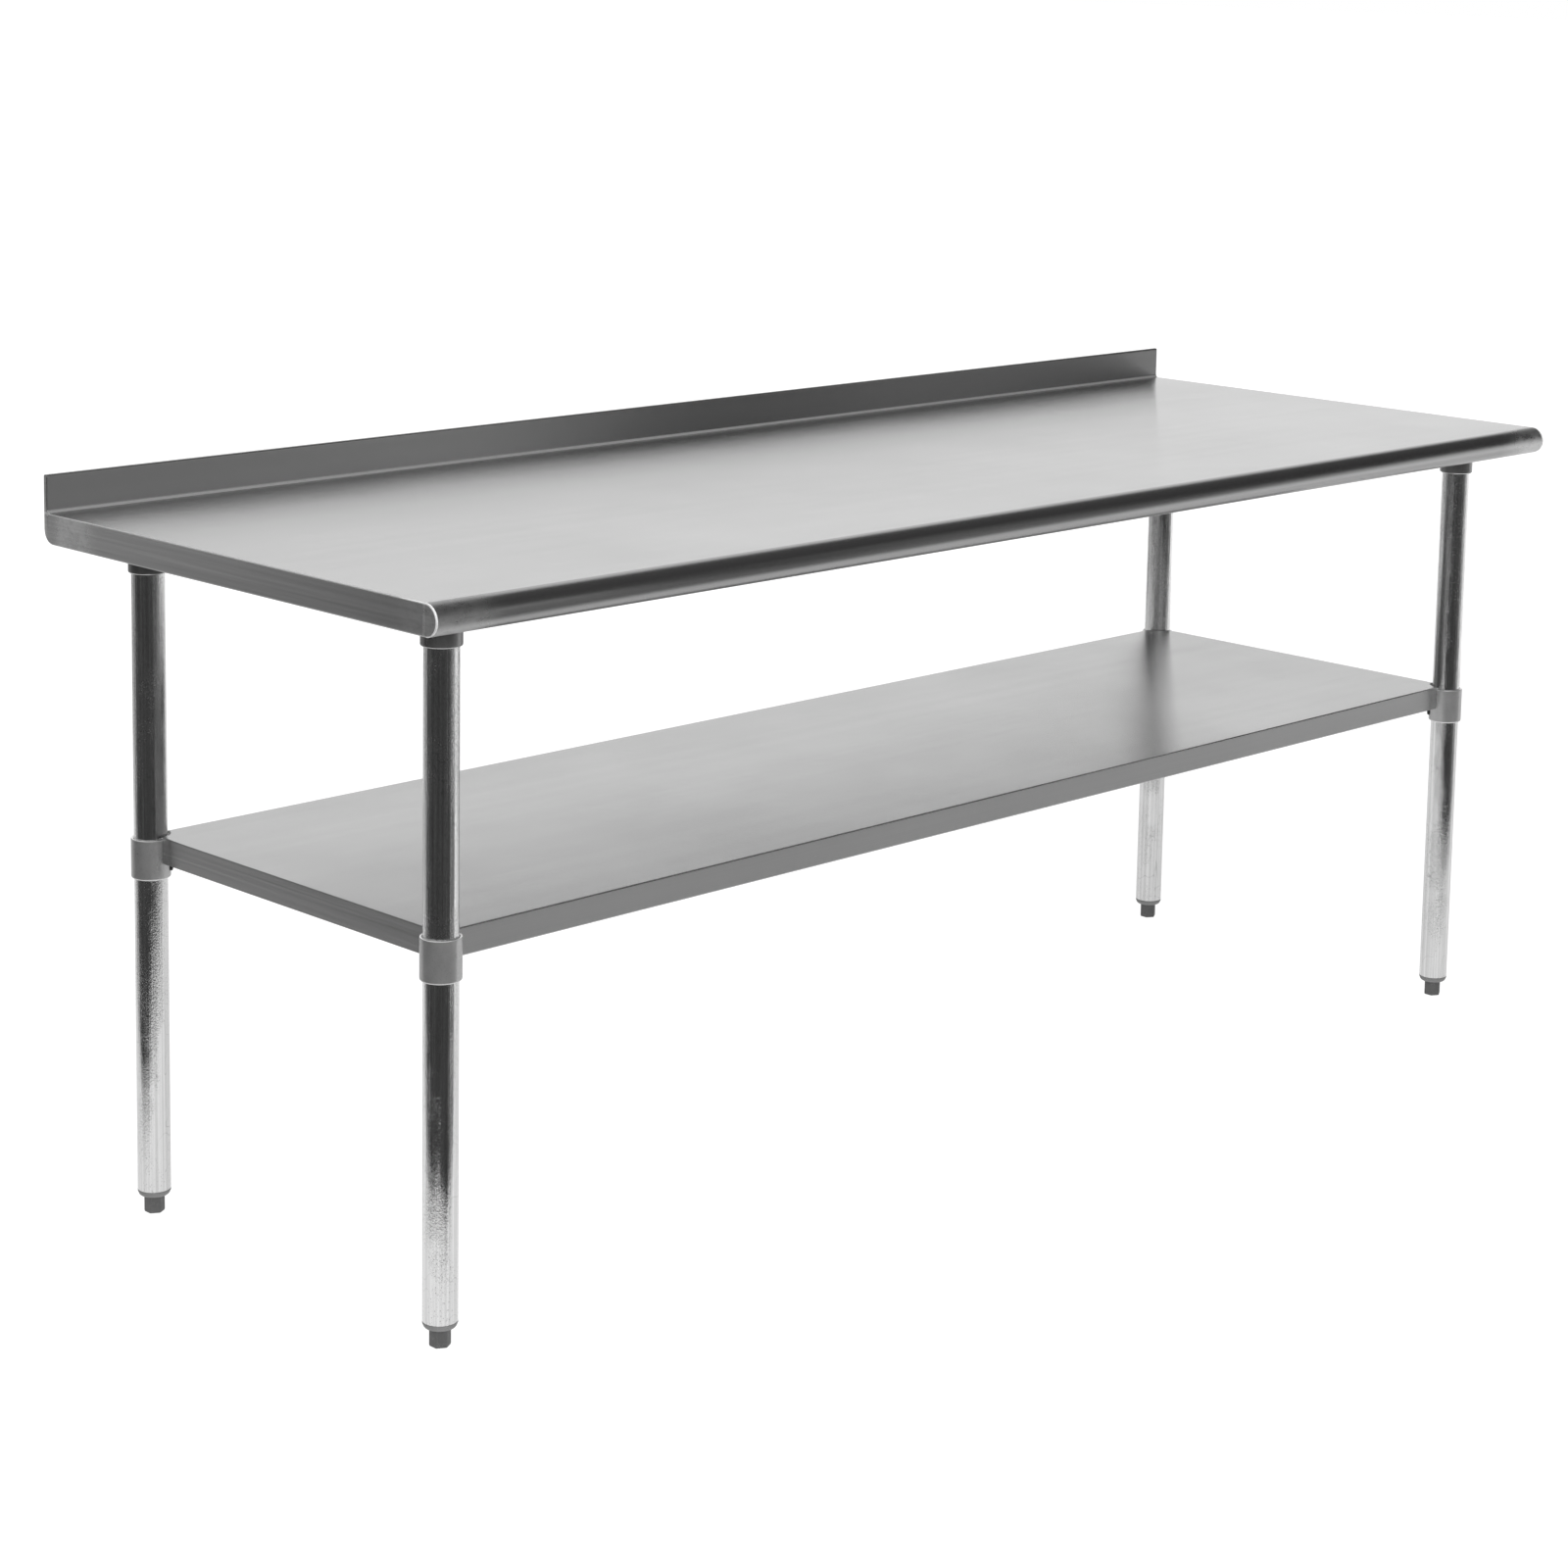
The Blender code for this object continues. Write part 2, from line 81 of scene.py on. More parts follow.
def make_camera():
    data = bpy.data.cameras.new("camera")
    data.lens = CAMERA_LENS
    data.sensor_width = 36
    data.shift_x, data.shift_y = CAMERA_SHIFT
    camera = bpy.data.objects.new("camera", data)
    bpy.context.scene.collection.objects.link(camera)
    turn = (
        Matrix.Rotation(-CAMERA_YAW, 4, "Z")
        @ Matrix.Rotation(math.pi / 2 - CAMERA_PITCH, 4, "X")
        @ Matrix.Rotation(CAMERA_ROLL, 4, "Z")
    )
    camera.matrix_world = Matrix.Translation(CAMERA_PLACE) @ turn
    bpy.context.scene.camera = camera


# ---- Node helpers -------------------------------------------------------------------------
class Graph:
    """A short way to write a material's or world's nodes."""

    def __init__(self, tree):
        self.tree = tree
        tree.nodes.clear()

    def node(self, kind, inputs=None, **settings):
        made = self.tree.nodes.new(kind)
        for key, value in settings.items():
            setattr(made, key, value)
        for key, value in (inputs or {}).items():
            self.feed(made.inputs[key], value)
        return made

    def feed(self, socket, value):
        if isinstance(value, bpy.types.NodeSocket):
            self.tree.links.new(value, socket)
        else:
            socket.default_value = value

    def math(self, operation, first, second=0.0, third=0.0):
        made = self.node("ShaderNodeMath", operation=operation)
        for socket, value in zip(made.inputs, (first, second, third)):
            self.feed(socket, value)
        return made.outputs[0]

    def times(self, first, second):
        return self.math("MULTIPLY", first, second)

    def plus(self, value, amount, base):
        """base + value * amount."""
        return self.math("MULTIPLY_ADD", value, amount, base)

    def ramp(self, value, low, high, to_low=0.0, to_high=1.0):
        """A smooth change from to_low to to_high as value goes from low to high."""
        made = self.node("ShaderNodeMapRange", {
            "Value": value, "From Min": low, "From Max": high, "To Min": to_low, "To Max": to_high,
        }, interpolation_type="SMOOTHSTEP")
        return made.outputs["Result"]

    def window(self, value, start, start_blur, end, end_blur):
        """1 between start and end, with soft borders of half-width start_blur and end_blur."""
        rise = self.ramp(value, start - start_blur, start + start_blur)
        fall = self.ramp(value, end - end_blur, end + end_blur, 1.0, 0.0)
        return self.times(rise, fall)

    def mix(self, factor, first, second):
        """A blend of two numbers."""
        made = self.node("ShaderNodeMix", {"Factor": factor})
        self.feed(made.inputs[2], first)
        self.feed(made.inputs[3], second)
        return made.outputs[0]

    def mix_vectors(self, factor, first, second):
        made = self.node("ShaderNodeMix", {"Factor": factor}, data_type="VECTOR")
        self.feed(made.inputs[4], first)
        self.feed(made.inputs[5], second)
        return made.outputs[1]

    def grey(self, level):
        made = self.node("ShaderNodeCombineColor", {"Red": level, "Green": level, "Blue": level})
        return made.outputs[0]

    def place(self):
        return self.node("ShaderNodeTexCoord").outputs["Object"]

    def parts(self, vector):
        made = self.node("ShaderNodeSeparateXYZ", {"Vector": vector})
        return made.outputs["X"], made.outputs["Y"], made.outputs["Z"]

    def stretched(self, stretch):
        """Object coordinates with each axis scaled, so that a pattern is drawn out."""
        return self.node("ShaderNodeMapping", {"Vector": self.place(), "Scale": stretch}).outputs[0]

    def noise(self, stretch, detail=3.0, roughness=0.55):
        made = self.node("ShaderNodeTexNoise", {
            "Vector": self.stretched(stretch), "Scale": 1.0, "Detail": detail, "Roughness": roughness,
        })
        return made.outputs[0]

    def cells(self, stretch, output="Distance"):
        made = self.node("ShaderNodeTexVoronoi", {"Vector": self.stretched(stretch), "Scale": 1.0})
        return made.outputs[output]

    def scratches(self, stretch, width):
        """Sparse fine lines: the middle contour of a stretched noise."""
        field = self.noise(stretch, detail=1.0)
        off_line = self.math("ABSOLUTE", self.math("SUBTRACT", field, 0.5))
        return self.ramp(off_line, 0.0, width, 1.0, 0.0)

    def bump(self, height, strength, distance, normal=None):
        inputs = {"Height": height, "Strength": strength, "Distance": distance}
        if normal is not None:
            inputs["Normal"] = normal
        return self.node("ShaderNodeBump", inputs).outputs[0]


def new_material(name, metallic):
    material = bpy.data.materials.new(name)
    material.use_nodes = True
    graph = Graph(material.node_tree)
    shader = graph.node("ShaderNodeBsdfPrincipled")
    output = graph.node("ShaderNodeOutputMaterial")
    graph.tree.links.new(shader.outputs[0], output.inputs[0])
    shader.inputs["Metallic"].default_value = metallic
    return material, graph, shader


def finish_surface(graph, shader, tone, rough, normal):
    graph.feed(shader.inputs["Base Color"], graph.grey(tone))
    graph.feed(shader.inputs["Roughness"], rough)
    graph.feed(shader.inputs["Normal"], normal)


# ---- Materials ----------------------------------------------------------------------------
def ground_patches(graph, on_end, x, y):
    """Where welds were ground down: the roll's ends, and the rear and front of an end face."""
    on_roll = graph.ramp(y, -0.366, -0.350, 1.0, 0.0)
    roll_end = graph.times(graph.ramp(graph.math("ABSOLUTE", x), 0.955, 1.035), on_roll)
    panel_rear = graph.times(graph.window(y, 0.285, 0.03, 0.352, 0.012), on_end)
    panel_front = graph.times(graph.ramp(y, -0.345, -0.30, 1.0, 0.0), on_end)
    on_panel = graph.math("MAXIMUM", panel_rear, graph.times(panel_front, 0.25))
    return graph.math("MAXIMUM", roll_end, on_panel)


def painted_bend_highlight(graph, x, y, z):
    """Painted highlight on the bends: the cove in front of the splash and the top's end edges."""
    from_top = graph.math("ABSOLUTE", graph.math("SUBTRACT", z, WORK_HEIGHT))
    from_splash = graph.math("ABSOLUTE", graph.math("SUBTRACT", y, SPLASH_FACE))
    from_end = graph.math("SUBTRACT", TABLE_END, graph.math("ABSOLUTE", x))
    cove_highlight = graph.ramp(graph.plus(from_splash, 1.0, from_top), 0.0031, 0.0042, 0.42, 0.0)
    end_edge_highlight = graph.ramp(graph.plus(from_end, 1.0, from_top), 0.0008, 0.0022, 0.7, 0.0)
    return graph.math("MAXIMUM", cove_highlight, end_edge_highlight)


def brush_tangent(graph, facing, on_end):
    """The tangent that stretches highlights across the brush lines: along X, or Y on the ends."""
    tangents = []
    for brush in ((1, 0, 0), (0, 1, 0)):
        across = graph.node("ShaderNodeVectorMath", {0: facing, 1: brush}, operation="CROSS_PRODUCT")
        tangents.append(across.outputs[0])
    return graph.mix_vectors(on_end, *tangents)


def brushed_steel(name, level, roughness, ground_ends, lip_painted_light_and_roughness):
    """Stainless sheet brushed along its length, and along Y on its end faces.

    ground_ends is how strongly the sheet's ends show the marks of ground-down welds, and
    lip_painted_light_and_roughness how much duller the faces towards the front are, and how much
    paler in painted light.
    """
    material, graph, shader = new_material(name, 1.0)
    facing = graph.node("ShaderNodeNewGeometry").outputs["Normal"]
    facing_x = graph.math("ABSOLUTE", graph.parts(facing)[0])
    on_end = graph.ramp(facing_x, 0.45, 0.65)
    x, y, z = graph.parts(graph.place())

    fine_along = graph.noise((1.5, 1100, 1100), 4.0, 0.7)
    fine_on_end = graph.noise((900, 2.5, 900), 4.0, 0.7)
    fine = graph.mix(on_end, fine_along, fine_on_end)
    broad_along = graph.noise((0.5, 45, 45), 2.0)
    broad_on_end = graph.noise((70, 3.0, 260), 3.0)
    broad = graph.mix(on_end, broad_along, broad_on_end)
    broad_strength = graph.mix(on_end, 0.05, 0.34)
    smudge = graph.noise((4.0, 5.0, 5.0), 5.0, 0.6)
    worn = graph.scratches((26, 11, 26), 0.0012)

    on_roll = graph.ramp(y, ROLL_BACK, ROLL_BACK + 0.002, 1.0, 0.0)
    on_lip = graph.ramp(graph.parts(facing)[1], -0.98, -0.90, 1.0, 0.0)
    # bend: where a painted highlight lies, along the cove and the top's end edges
    bend = painted_bend_highlight(graph, x, y, z)
    swirl = graph.noise((38, 60, 90), 5.0, 0.65)
    ground = graph.times(ground_patches(graph, on_end, x, y), ground_ends)
    ground = graph.times(ground, graph.ramp(swirl, 0.30, 0.60, 0.35, 1.0))

    tone = graph.plus(fine, 0.12, level - 0.06)
    tone = graph.plus(graph.math("SUBTRACT", broad, 0.5), broad_strength, tone)
    tone = graph.plus(worn, 0.05, tone)
    # painted shade: the roll is darker, standing in for the shaded floor under the table that it
    # reflects
    tone = graph.plus(on_roll, -0.27, tone)
    # painted light: the faces towards the front are made paler
    tone = graph.plus(on_lip, lip_painted_light_and_roughness, tone)
    tone = graph.plus(ground, 0.32, tone)
    # painted highlight: the bends are made paler
    tone = graph.plus(bend, 0.30, tone)
    rough = graph.plus(fine, 0.05, roughness - 0.055)
    rough = graph.plus(smudge, 0.06, rough)
    rough = graph.plus(on_lip, lip_painted_light_and_roughness, rough)
    rough = graph.plus(ground, 0.16, rough)
    rough = graph.plus(bend, 0.40, rough)
    graph.feed(shader.inputs["Metallic"], graph.plus(bend, -0.6, 1.0))

    waves = graph.bump(graph.noise((2.2, 2.6, 2.6), 1.0), 0.10, 0.004)
    brush = graph.bump(fine, 0.10, 0.0002, waves)
    normal = graph.bump(swirl, graph.times(ground, 0.35), 0.0008, brush)
    finish_surface(graph, shader, tone, rough, normal)

    shader.inputs["Anisotropic"].default_value = 1.0
    graph.feed(shader.inputs["Tangent"], brush_tangent(graph, facing, on_end))
    return material


def bright_tube_steel():
    """Bright galvanised tube: draw lines down its length, fine speckle and rub marks."""
    material, graph, shader = new_material("bright_tube_steel", 1.0)
    lines = graph.ramp(graph.noise((330, 330, 1.3), 3.0, 0.6), 0.36, 0.64)
    mottled = graph.noise((70, 70, 18), 5.0, 0.65)
    grain = graph.noise((560, 560, 330), 3.0, 0.7)
    speckled = graph.ramp(graph.noise((24, 24, 11), 2.0), 0.42, 0.60)
    specks = graph.times(graph.ramp(graph.cells((330, 330, 230)), 0.14, 0.30, 1.0, 0.0), speckled)
    rubbed = graph.scratches((38, 38, 22), 0.006)

    tone = graph.plus(lines, 0.14, 0.68)
    tone = graph.plus(mottled, 0.12, graph.math("SUBTRACT", tone, 0.06))
    tone = graph.plus(specks, -0.22, tone)
    tone = graph.plus(rubbed, -0.16, tone)
    rough = graph.plus(mottled, 0.14, 0.02)
    rough = graph.plus(specks, 0.20, rough)

    normal = graph.bump(lines, 0.8, 0.00016)
    normal = graph.bump(mottled, 0.5, 0.0009, normal)
    normal = graph.bump(grain, graph.plus(speckled, 0.45, 0.25), 0.0006, normal)
    finish_surface(graph, shader, tone, rough, normal)
    return material


def cast_alloy(name, level, painted_rim_highlight_level):
    """Matt cast and galvanised metal with pits, and painted highlights where it faces up or down."""
    material, graph, shader = new_material(name, 0.65)
    facing = graph.node("ShaderNodeNewGeometry").outputs["Normal"]
    upright = graph.math("ABSOLUTE", graph.parts(facing)[2])
    rim = graph.ramp(upright, 0.30, 0.75)
    grain = graph.noise((330, 330, 330), 4.0, 0.6)
    cloud = graph.noise((55, 55, 40), 3.0)
    pits = graph.ramp(graph.cells((420, 420, 420)), 0.10, 0.24, 1.0, 0.0)
    tone = graph.plus(cloud, 0.30 * level, graph.plus(grain, 0.20 * level, 0.75 * level))
    tone = graph.plus(pits, -0.25 * level, tone)
    # painted highlight: faces that point up or down are made paler
    tone = graph.mix(rim, tone, painted_rim_highlight_level)
    rough = graph.plus(rim, -0.10, graph.plus(cloud, 0.16, 0.22))
    normal = graph.bump(cloud, 0.20, 0.0010)
    finish_surface(graph, shader, tone, rough, graph.bump(grain, 0.25, 0.0004, normal))
    return material


def spangled_steel():
    """Hot-dip galvanised sheet: flat crystals that differ in tone and gloss."""
    material, graph, shader = new_material("spangled_steel", 1.0)
    crystal = graph.cells((85, 85, 85), "Color")
    facet = graph.node("ShaderNodeSeparateColor", {"Color": crystal}).outputs[0]
    grain = graph.noise((300, 300, 300))
    tone = graph.plus(grain, 0.06, graph.plus(facet, 0.12, 0.40))
    rough = graph.plus(facet, 0.14, 0.32)
    finish_surface(graph, shader, tone, rough, graph.bump(grain, 0.12, 0.0003))
    return material


def grained_metal(name, level, roughness, grain_size, strength, metallic=1.0):
    """Plain metal with a fine grain: cast, plated, ground or blackened."""
    material, graph, shader = new_material(name, metallic)
    grain = graph.noise((grain_size, grain_size, grain_size), 4.0, 0.6)
    cloud = graph.noise((35, 35, 35))
    tone = graph.plus(cloud, 0.10 * level, graph.plus(grain, 0.10 * level, 0.90 * level))
    rough = graph.plus(cloud, 0.14, roughness - 0.07)
    finish_surface(graph, shader, tone, rough, graph.bump(grain, strength, 0.0003))
    return material


def moulded_plastic(name, level):
    """Grey moulded plastic with a faint texture and scuffs."""
    material, graph, shader = new_material(name, 0.0)
    grain = graph.noise((700, 700, 700), 2.0)
    cloud = graph.noise((60, 60, 60))
    scuffs = graph.scratches((140, 140, 90), 0.012)
    tone = graph.plus(scuffs, 0.05, graph.plus(cloud, 0.04, graph.plus(grain, 0.02, level)))
    rough = graph.plus(grain, 0.12, 0.42)
    finish_surface(graph, shader, tone, rough, graph.bump(grain, 0.15, 0.0002))
    return material


def make_materials():
    """Every material, by the part it is for."""
    return {
        "worktop": brushed_steel(
            "worktop_steel", level=0.64, roughness=0.20, ground_ends=1.0, lip_painted_light_and_roughness=0.0
        ),
        "shelf": brushed_steel(
            "shelf_steel", level=0.58, roughness=0.23, ground_ends=0.0, lip_painted_light_and_roughness=0.24
        ),
        "tube": bright_tube_steel(),
        "channel": spangled_steel(),
        "socket": cast_alloy("socket_steel", level=0.24, painted_rim_highlight_level=0.90),
        "sleeve": cast_alloy("sleeve_alloy", level=0.44, painted_rim_highlight_level=0.95),
        "screw": grained_metal(
            "black_screw", level=0.07, roughness=0.42, grain_size=500.0, strength=0.10
        ),
        "stud": grained_metal(
            "plated_stud", level=0.58, roughness=0.30, grain_size=400.0, strength=0.08
        ),
        "ground_weld": grained_metal(
            "ground_weld", level=0.95, roughness=0.45, grain_size=300.0, strength=0.25, metallic=0.3
        ),
        "raw_weld": grained_metal(
            "raw_weld", level=0.34, roughness=0.38, grain_size=180.0, strength=0.35
        ),
        "bush_plastic": moulded_plastic("bush_plastic", level=0.14),
        "foot_plastic": moulded_plastic("foot_plastic", level=0.045),
    }


# ---- Mesh helpers -------------------------------------------------------------------------
def node_box(name):
    low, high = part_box(name)
    return Vector(low), Vector(high)


def leg_axis(corner, height=0.0):
    low, high = node_box("leg_tube_" + corner)
    return Vector(((low.x + high.x) / 2, (low.y + high.y) / 2, height))


def flatten_flats(thing):
    """Keeps large flat faces flat in shading beside the small facets of their folds and radii."""
    weighted = thing.modifiers.new("weighted_normal", "WEIGHTED_NORMAL")
    weighted.keep_sharp = True
    weighted.weight = 100


def add_piece(name, data, material, body, nodes=()):
    """Links a finished piece to the body it rides on, and hides the CAD nodes it stands for."""
    piece = bpy.data.objects.new(name, data)
    bpy.context.scene.collection.objects.link(piece)
    data.materials.append(material)
    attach(piece, body)
    if isinstance(data, bpy.types.Mesh):
        flatten_flats(piece)
    if nodes:
        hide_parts(*nodes)


def finish_mesh(name, bm):
    bmesh.ops.remove_doubles(bm, verts=bm.verts, dist=MERGE_DISTANCE)
    bmesh.ops.recalc_face_normals(bm, faces=bm.faces)
    mesh = bpy.data.meshes.new(name)
    bm.to_mesh(mesh)
    bm.free()
    mesh.shade_smooth()
    mesh.set_sharp_from_angle(angle=SMOOTH_ANGLE)
    return mesh


def turn_profile(bm, profile, sides, matrix=Matrix.Identity(4)):
    """Adds a closed (radius, height) profile turned about Z. Points at radius 0 close it off."""
    rings = []
    for radius, height in profile:
        ring = []
        for side in range(sides):
            angle = 2 * math.pi * side / sides
            place = Vector((radius * math.cos(angle), radius * math.sin(angle), height))
            ring.append(bm.verts.new(matrix @ place))
        rings.append(ring)
    touches_axis = profile[0][0] == 0 and profile[-1][0] == 0
    pairs = list(zip(rings, rings[1:])) + ([] if touches_axis else [(rings[-1], rings[0])])
    for first, second in pairs:
        for side in range(sides):
            after = (side + 1) % sides
            bm.faces.new((first[side], first[after], second[after], second[side]))
    if touches_axis:
        bmesh.ops.remove_doubles(bm, verts=rings[0] + rings[-1], dist=SAME_POINT)


def arc(centre, radius, start, end, steps):
    """(radius, height) points round a corner, from one angle in degrees to another."""
    points = []
    for step in range(steps + 1):
        angle = math.radians(start + (end - start) * step / steps)
        points.append((centre[0] + radius * math.cos(angle), centre[1] + radius * math.sin(angle)))
    return points


def cut_mesh(mesh, cutters):
    """The mesh with other meshes cut out of it."""
    body = bpy.data.objects.new("uncut", mesh)
    bpy.context.scene.collection.objects.link(body)
    tools = []
    for cutter in cutters:
        tool = bpy.data.objects.new("cutter", cutter)
        bpy.context.scene.collection.objects.link(tool)
        boolean = body.modifiers.new("cut", "BOOLEAN")
        boolean.solver = "EXACT"
        boolean.object = tool
        tools.append(tool)
    depsgraph = bpy.context.evaluated_depsgraph_get()
    result = bpy.data.meshes.new_from_object(body.evaluated_get(depsgraph))
    result.name = mesh.name
    for spare in [body, *tools]:
        bpy.data.objects.remove(spare)
    result.shade_smooth()
    result.set_sharp_from_angle(angle=SMOOTH_ANGLE)
    return result


def screw_frame(screw_node, corner):
    """The middle of a set screw, with Z pointing out from the leg's axis."""
    low, high = node_box(screw_node)
    middle = (low + high) / 2
    outward = middle - leg_axis(corner, middle.z)
    return Matrix.Translation(middle) @ outward.to_track_quat("Z", "Y").to_matrix().to_4x4()


def round_cutter(matrix, radius, depth, sides):
    bm = bmesh.new()
    bmesh.ops.create_cone(
        bm, cap_ends=True, segments=sides, radius1=radius, radius2=radius, depth=depth,
        matrix=matrix,
    )
    return finish_mesh("cutter", bm)


# ---- Leg fittings -------------------------------------------------------------------------
SCREW_HOLE_RADIUS = 0.0043
SCREW_HOLE_DEPTH = 0.020
SCREW_HOLE_SIDES = 32
SCREW_RADIUS = 0.0040
SCREW_LENGTH = 0.0060
SCREW_KEY_RADIUS = 0.0023
SCREW_END = 0.0008              # bevel at each end of a set screw
SOCKET_CLEARANCE = 0.0003       # between a socket's ceiling and the end of its tube


def drill_screw_hole(mesh, screw_node, corner):
    """The mesh with a hole for its set screw."""
    place = screw_frame(screw_node, corner)
    hole = round_cutter(place, SCREW_HOLE_RADIUS, SCREW_HOLE_DEPTH, SCREW_HOLE_SIDES)
    return cut_mesh(mesh, [hole])


def leg_tube(corner, material):
    """The tube, with its ends broken by a small radius inside and out."""
    node = "leg_tube_" + corner
    low, high = node_box(node)
    outer = (high.x - low.x) / 2
    inner = outer - TUBE_WALL
    edge = 0.0004
    profile = arc((outer - edge, high.z - edge), edge, 90, 0, 3)
    profile += arc((outer - edge, low.z + edge), edge, 0, -90, 3)
    profile += arc((inner + edge, low.z + edge), edge, -90, -180, 3)
    profile += arc((inner + edge, high.z - edge), edge, 180, 90, 3)
    bm = bmesh.new()
    turn_profile(bm, profile, ROUND_SIDES, Matrix.Translation(leg_axis(corner)))
    add_piece("fine_" + node, finish_mesh(node, bm), material, "table", [node])


def leg_socket(corner, material):
    """A capped socket with a rounded lower rim, and a tapped hole for its set screw."""
    node = "leg_socket_" + corner
    low, high = node_box(node)
    tube_low, tube_high = node_box("leg_tube_" + corner)
    outer = (high.x - low.x) / 2
    inner = (tube_high.x - tube_low.x) / 2 + BORE_CLEARANCE
    ceiling = tube_high.z + SOCKET_CLEARANCE
    rim, edge, mouth = 0.0024, 0.0008, 0.0004
    profile = [(0, high.z)]
    profile += arc((outer - edge, high.z - edge), edge, 90, 0, 3)
    profile += arc((outer - rim, low.z + rim), rim, 0, -90, 8)
    profile += [(inner + mouth, low.z), (inner, low.z + mouth), (inner, ceiling), (0, ceiling)]
    bm = bmesh.new()
    turn_profile(bm, profile, ROUND_SIDES, Matrix.Translation(leg_axis(corner)))
    mesh = drill_screw_hole(finish_mesh(node, bm), "socket_set_screw_" + corner, corner)
    add_piece("fine_" + node, mesh, material, "table", [node])


def shelf_sleeve(corner, material):
    """A cast sleeve: a bevelled mouth, a softly rounded lower rim, and its set screw's hole."""
    node = "shelf_sleeve_" + corner
    low, high = node_box(node)
    tube_low, tube_high = node_box("leg_tube_" + corner)
    outer = (high.x - low.x) / 2
    inner = (tube_high.x - tube_low.x) / 2 + BORE_CLEARANCE
    rim, lip, mouth = 0.0028, 0.0009, 0.0013
    profile = [(inner + mouth, high.z)]
    profile += arc((outer - lip, high.z - lip), lip, 90, 0, 4)
    profile += arc((outer - rim, low.z + rim), rim, 0, -90, 8)
    profile += [(inner, low.z), (inner, high.z - mouth)]
    bm = bmesh.new()
    turn_profile(bm, profile, ROUND_SIDES, Matrix.Translation(leg_axis(corner)))
    mesh = drill_screw_hole(finish_mesh(node, bm), "sleeve_set_screw_" + corner, corner)
    add_piece("fine_" + node, mesh, material, "shelf", [node])


def set_screw(node, corner, body, material):
    """A grub screw with thread ridges, a rounded end and a hexagonal key recess."""
    ridges = 6
    ridge_depth, ridge_slope = 0.00035, 0.0004
    half = SCREW_LENGTH / 2
    threaded = SCREW_LENGTH - 2 * SCREW_END
    end_radius = SCREW_RADIUS - SCREW_END
    profile = [(0, half), (end_radius, half)]
    for ridge in range(ridges):
        crest = half - SCREW_END - threaded * (ridge + 0.5) / ridges
        profile += [(SCREW_RADIUS, crest), (SCREW_RADIUS - ridge_depth, crest - ridge_slope)]
    profile += [(end_radius, -half), (0, -half)]
    place = screw_frame(node, corner)
    bm = bmesh.new()
    turn_profile(bm, profile, SMALL_SIDES, place)
    key_place = place @ Matrix.Translation((0, 0, half))
    key = round_cutter(key_place, SCREW_KEY_RADIUS, SCREW_LENGTH, 6)
    mesh = cut_mesh(finish_mesh(node, bm), [key])
    add_piece("fine_" + node, mesh, material, body, [node])


# ---- Levelling feet -----------------------------------------------------------------------
def foot_insert(corner, material):
    """The pressed-in bush: ribbed plug, straight rim under the tube, and a rounded collar."""
    node = "foot_insert_" + corner
    low, high = node_box(node)
    stud_low, stud_high = node_box("foot_stud_" + corner)
    collar = (high.x - low.x) / 2
    plug = collar - TUBE_WALL - 0.0004
    bore = (stud_high.x - stud_low.x) / 2 + 0.0003
    neck = 0.0142
    rim_top, rim_bottom = low.z + 0.0080, low.z + 0.0060
    rim_edge, rim_step, rim_slope = 0.0002, 0.0007, 0.0003
    ribs, rib_depth, rib_height = 5, 0.0006, 0.0045
    plug_edge, first_rib, ribs_margin = 0.0010, 0.0020, 0.0040
    round_radius = 0.0055
    profile = [(bore, high.z), (plug - plug_edge, high.z)]
    for rib in range(ribs):
        top = high.z - first_rib - (high.z - rim_top - ribs_margin) * rib / ribs
        profile += [(plug, top), (plug - rib_depth, top - rib_height)]
    profile += [(plug, rim_top), (collar - rim_edge, rim_top), (collar, rim_top - rim_edge)]
    profile += [(collar, rim_bottom), (collar - rim_step, rim_bottom - rim_slope)]
    round_centre = (collar - rim_step - round_radius, low.z + round_radius)
    profile += arc(round_centre, round_radius, 0, -90, 8)
    profile += [(neck, low.z), (bore, low.z)]
    bm = bmesh.new()
    turn_profile(bm, profile, ROUND_SIDES, Matrix.Translation(leg_axis(corner)))
    add_piece("fine_" + node, finish_mesh(node, bm), material, "table", [node])


def levelling_foot(corner, material):
    """A moulded hexagonal foot with rounded corners and a chamfered sole."""
    node = "levelling_foot_" + corner
    low, high = node_box(node)
    height = high.z - low.z
    radius = (high.y - low.y) / 2
    corner_bevel, sole_bevel, top_bevel = 0.0010, 0.0022, 0.0006
    on_rim = 0.00001
    bm = bmesh.new()
    bmesh.ops.create_cone(
        bm, cap_ends=True, segments=6, radius1=radius, radius2=radius, depth=height,
        matrix=Matrix.Translation(leg_axis(corner, low.z + height / 2)),
    )
    uprights = []
    for edge in bm.edges:
        start, end = edge.verts
        if abs(start.co.z - end.co.z) > height / 2:
            uprights.append(edge)
    bmesh.ops.bevel(bm, geom=uprights, offset=corner_bevel, segments=3, profile=0.5, affect="EDGES")
    for level, offset in ((low.z, sole_bevel), (high.z, top_bevel)):
        rims = [edge for edge in bm.edges if all(abs(v.co.z - level) < on_rim for v in edge.verts)]
        bmesh.ops.bevel(bm, geom=rims, offset=offset, segments=2, profile=0.6, affect="EDGES")
    mesh = finish_mesh(node, bm)
    add_piece("fine_" + node, mesh, material, "foot_" + corner, [node])


